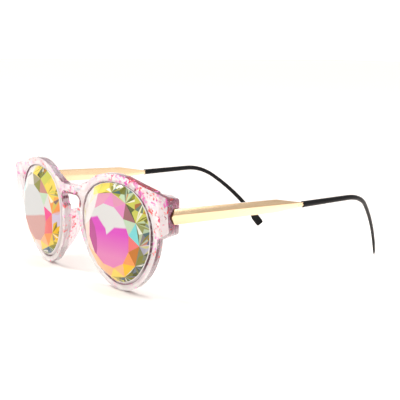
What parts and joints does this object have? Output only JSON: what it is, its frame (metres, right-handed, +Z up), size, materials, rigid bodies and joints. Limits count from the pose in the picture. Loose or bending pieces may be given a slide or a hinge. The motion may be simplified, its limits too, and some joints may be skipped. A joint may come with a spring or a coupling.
{
  "type": "kaleidoscope glasses",
  "caption": "Kaleidoscope glasses: clear speckled plastic front with a keyhole bridge, round faceted crystals, nose pads, and slim gold temples with black tips that fold on screw hinges.",
  "frame": {"origin": "on the floor, at the middle of the whole object's width and length with the temples open", "axes": "+X the wearer's left, -Y the way the front looks, +Y along the temples to the ears, +Z up"},
  "size_m": [0.1368, 0.1553, 0.0509],
  "materials": {
    "speckled_plastic": "clear, with pink and red speckle",
    "crystal": "polished facets with a rainbow coat",
    "pad_plastic": "clear",
    "gold_metal": "satin pale gold plate",
    "black_plastic": "glossy",
    "hinge_steel": "satin"
  },
  "bodies": {
    "front": {"frame_front": "speckled_plastic", "lens_left": "crystal", "lens_right": "crystal", "nose_pad_left": "pad_plastic", "nose_pad_right": "pad_plastic", "hinge_front_left": "hinge_steel", "hinge_front_right": "hinge_steel", "hinge_screw_left": "hinge_steel", "hinge_screw_right": "hinge_steel"},
    "left_temple": {"temple_bar_left": "gold_metal", "hinge_temple_left": "gold_metal", "temple_tip_left": "black_plastic"},
    "right_temple": {"temple_bar_right": "gold_metal", "hinge_temple_right": "gold_metal", "temple_tip_right": "black_plastic"}
  },
  "joints": [
    {"name": "left_temple_fold", "type": "hinge", "parent": "front", "child": "left_temple", "pos_m": [0.06464, -0.06157, 0.0366], "axis": [0, 0, 1], "range_deg": [0, 86]},
    {"name": "right_temple_fold", "type": "hinge", "parent": "front", "child": "right_temple", "pos_m": [-0.06464, -0.06157, 0.0366], "axis": [0, 0, -1], "range_deg": [0, 72]}
  ]
}
